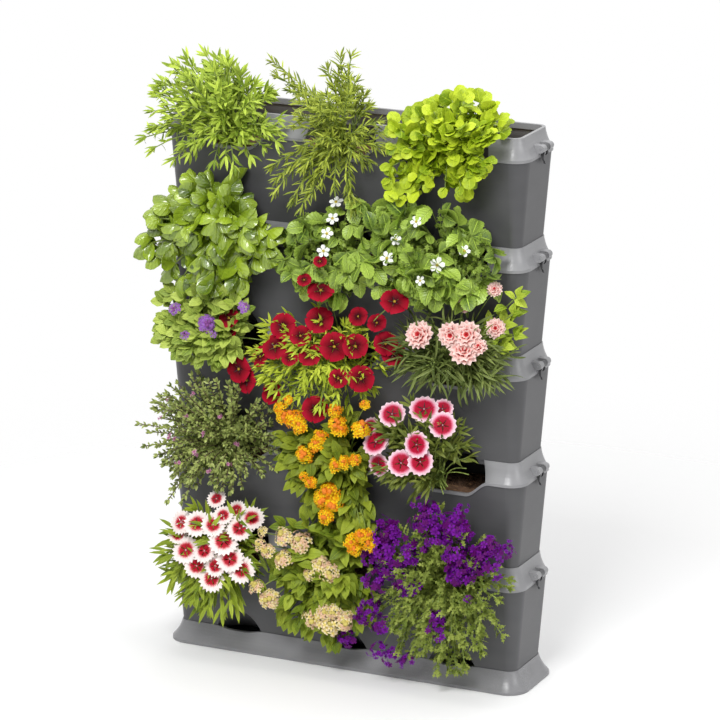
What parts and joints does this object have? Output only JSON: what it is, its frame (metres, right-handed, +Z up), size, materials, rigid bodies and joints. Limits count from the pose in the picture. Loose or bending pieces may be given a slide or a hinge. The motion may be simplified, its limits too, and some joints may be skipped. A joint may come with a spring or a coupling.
{
  "type": "vertical planter",
  "caption": "Free-standing vertical planter: stacked troughs with sloping collars, front planting openings, a floor tray and hinged clips, planted with herbs and flowers.",
  "frame": {"origin": "centre of the floor tray's underside, on the floor", "axes": "+Z up through the stack, +X right along the width as seen from the planted front, -Y towards the planted front"},
  "size_m": [0.7217, 0.2317, 1.1066],
  "materials": {
    "tray_plastic": "satin",
    "pot_plastic": "satin",
    "collar_plastic": "satin",
    "clip_plastic": "satin",
    "pin_steel": "satin",
    "potting_soil": "matte",
    "red_eyes": "matte",
    "cream_clusters": "matte",
    "violet_clusters": "matte",
    "fine_leaf_bush": "matte",
    "yellow_clusters": "matte",
    "crimson_eyes": "matte",
    "lilac_bush": "matte",
    "red_trumpets": "matte",
    "salmon_pinks": "matte",
    "basil": "matte",
    "strawberry_middle": "matte",
    "strawberry_right": "matte",
    "lance_herb": "matte",
    "needle_herb": "matte",
    "round_leaf_herb": "matte"
  },
  "bodies": {
    "base": {"base_tray": "tray_plastic"},
    "level_1": {"pot_1": "pot_plastic", "soil_1": "potting_soil", "collar_1": "collar_plastic", "clip_pins_1": "pin_steel", "red_eyes": "red_eyes", "cream_clusters": "cream_clusters", "violet_clusters": "violet_clusters"},
    "clip_left_1": {"clip_left_1": "clip_plastic"},
    "clip_right_1": {"clip_right_1": "clip_plastic"},
    "level_2": {"pot_2": "pot_plastic", "soil_2": "potting_soil", "collar_2": "collar_plastic", "clip_pins_2": "pin_steel", "fine_leaf_bush": "fine_leaf_bush", "yellow_clusters": "yellow_clusters", "crimson_eyes": "crimson_eyes"},
    "clip_left_2": {"clip_left_2": "clip_plastic"},
    "clip_right_2": {"clip_right_2": "clip_plastic"},
    "level_3": {"pot_3": "pot_plastic", "soil_3": "potting_soil", "collar_3": "collar_plastic", "clip_pins_3": "pin_steel", "lilac_bush": "lilac_bush", "red_trumpets": "red_trumpets", "salmon_pinks": "salmon_pinks"},
    "clip_left_3": {"clip_left_3": "clip_plastic"},
    "clip_right_3": {"clip_right_3": "clip_plastic"},
    "level_4": {"pot_4": "pot_plastic", "soil_4": "potting_soil", "collar_4": "collar_plastic", "clip_pins_4": "pin_steel", "basil": "basil", "strawberry_middle": "strawberry_middle", "strawberry_right": "strawberry_right"},
    "clip_left_4": {"clip_left_4": "clip_plastic"},
    "clip_right_4": {"clip_right_4": "clip_plastic"},
    "level_5": {"pot_5": "pot_plastic", "soil_5": "potting_soil", "collar_5": "collar_plastic", "clip_pins_5": "pin_steel", "lance_herb": "lance_herb", "needle_herb": "needle_herb", "round_leaf_herb": "round_leaf_herb"},
    "clip_left_5": {"clip_left_5": "clip_plastic"},
    "clip_right_5": {"clip_right_5": "clip_plastic"}
  },
  "joints": [
    {"name": "lift_1", "type": "slide", "parent": "base", "child": "level_1", "axis": [0, 0, 1], "range_m": [0, 0.05]},
    {"name": "clip_left_1_swing", "type": "hinge", "parent": "level_1", "child": "clip_left_1", "pos_m": [-0.3435, 0.006, 0.201], "axis": [0, 1, 0], "range_deg": [0, 75]},
    {"name": "clip_right_1_swing", "type": "hinge", "parent": "level_1", "child": "clip_right_1", "pos_m": [0.3435, 0.006, 0.201], "axis": [0, -1, 0], "range_deg": [0, 75]},
    {"name": "lift_2", "type": "slide", "parent": "level_1", "child": "level_2", "axis": [0, 0, 1], "range_m": [0, 0.05]},
    {"name": "clip_left_2_swing", "type": "hinge", "parent": "level_2", "child": "clip_left_2", "pos_m": [-0.3435, 0.006, 0.39], "axis": [0, 1, 0], "range_deg": [0, 75]},
    {"name": "clip_right_2_swing", "type": "hinge", "parent": "level_2", "child": "clip_right_2", "pos_m": [0.3435, 0.006, 0.39], "axis": [0, -1, 0], "range_deg": [0, 75]},
    {"name": "lift_3", "type": "slide", "parent": "level_2", "child": "level_3", "axis": [0, 0, 1], "range_m": [0, 0.05]},
    {"name": "clip_left_3_swing", "type": "hinge", "parent": "level_3", "child": "clip_left_3", "pos_m": [-0.3435, 0.006, 0.579], "axis": [0, 1, 0], "range_deg": [0, 75]},
    {"name": "clip_right_3_swing", "type": "hinge", "parent": "level_3", "child": "clip_right_3", "pos_m": [0.3435, 0.006, 0.579], "axis": [0, -1, 0], "range_deg": [0, 75]},
    {"name": "lift_4", "type": "slide", "parent": "level_3", "child": "level_4", "axis": [0, 0, 1], "range_m": [0, 0.05]},
    {"name": "clip_left_4_swing", "type": "hinge", "parent": "level_4", "child": "clip_left_4", "pos_m": [-0.3435, 0.006, 0.768], "axis": [0, 1, 0], "range_deg": [0, 75]},
    {"name": "clip_right_4_swing", "type": "hinge", "parent": "level_4", "child": "clip_right_4", "pos_m": [0.3435, 0.006, 0.768], "axis": [0, -1, 0], "range_deg": [0, 75]},
    {"name": "lift_5", "type": "slide", "parent": "level_4", "child": "level_5", "axis": [0, 0, 1], "range_m": [0, 0.05]},
    {"name": "clip_left_5_swing", "type": "hinge", "parent": "level_5", "child": "clip_left_5", "pos_m": [-0.3435, 0.006, 0.957], "axis": [0, 1, 0], "range_deg": [0, 75]},
    {"name": "clip_right_5_swing", "type": "hinge", "parent": "level_5", "child": "clip_right_5", "pos_m": [0.3435, 0.006, 0.957], "axis": [0, -1, 0], "range_deg": [0, 75]}
  ]
}
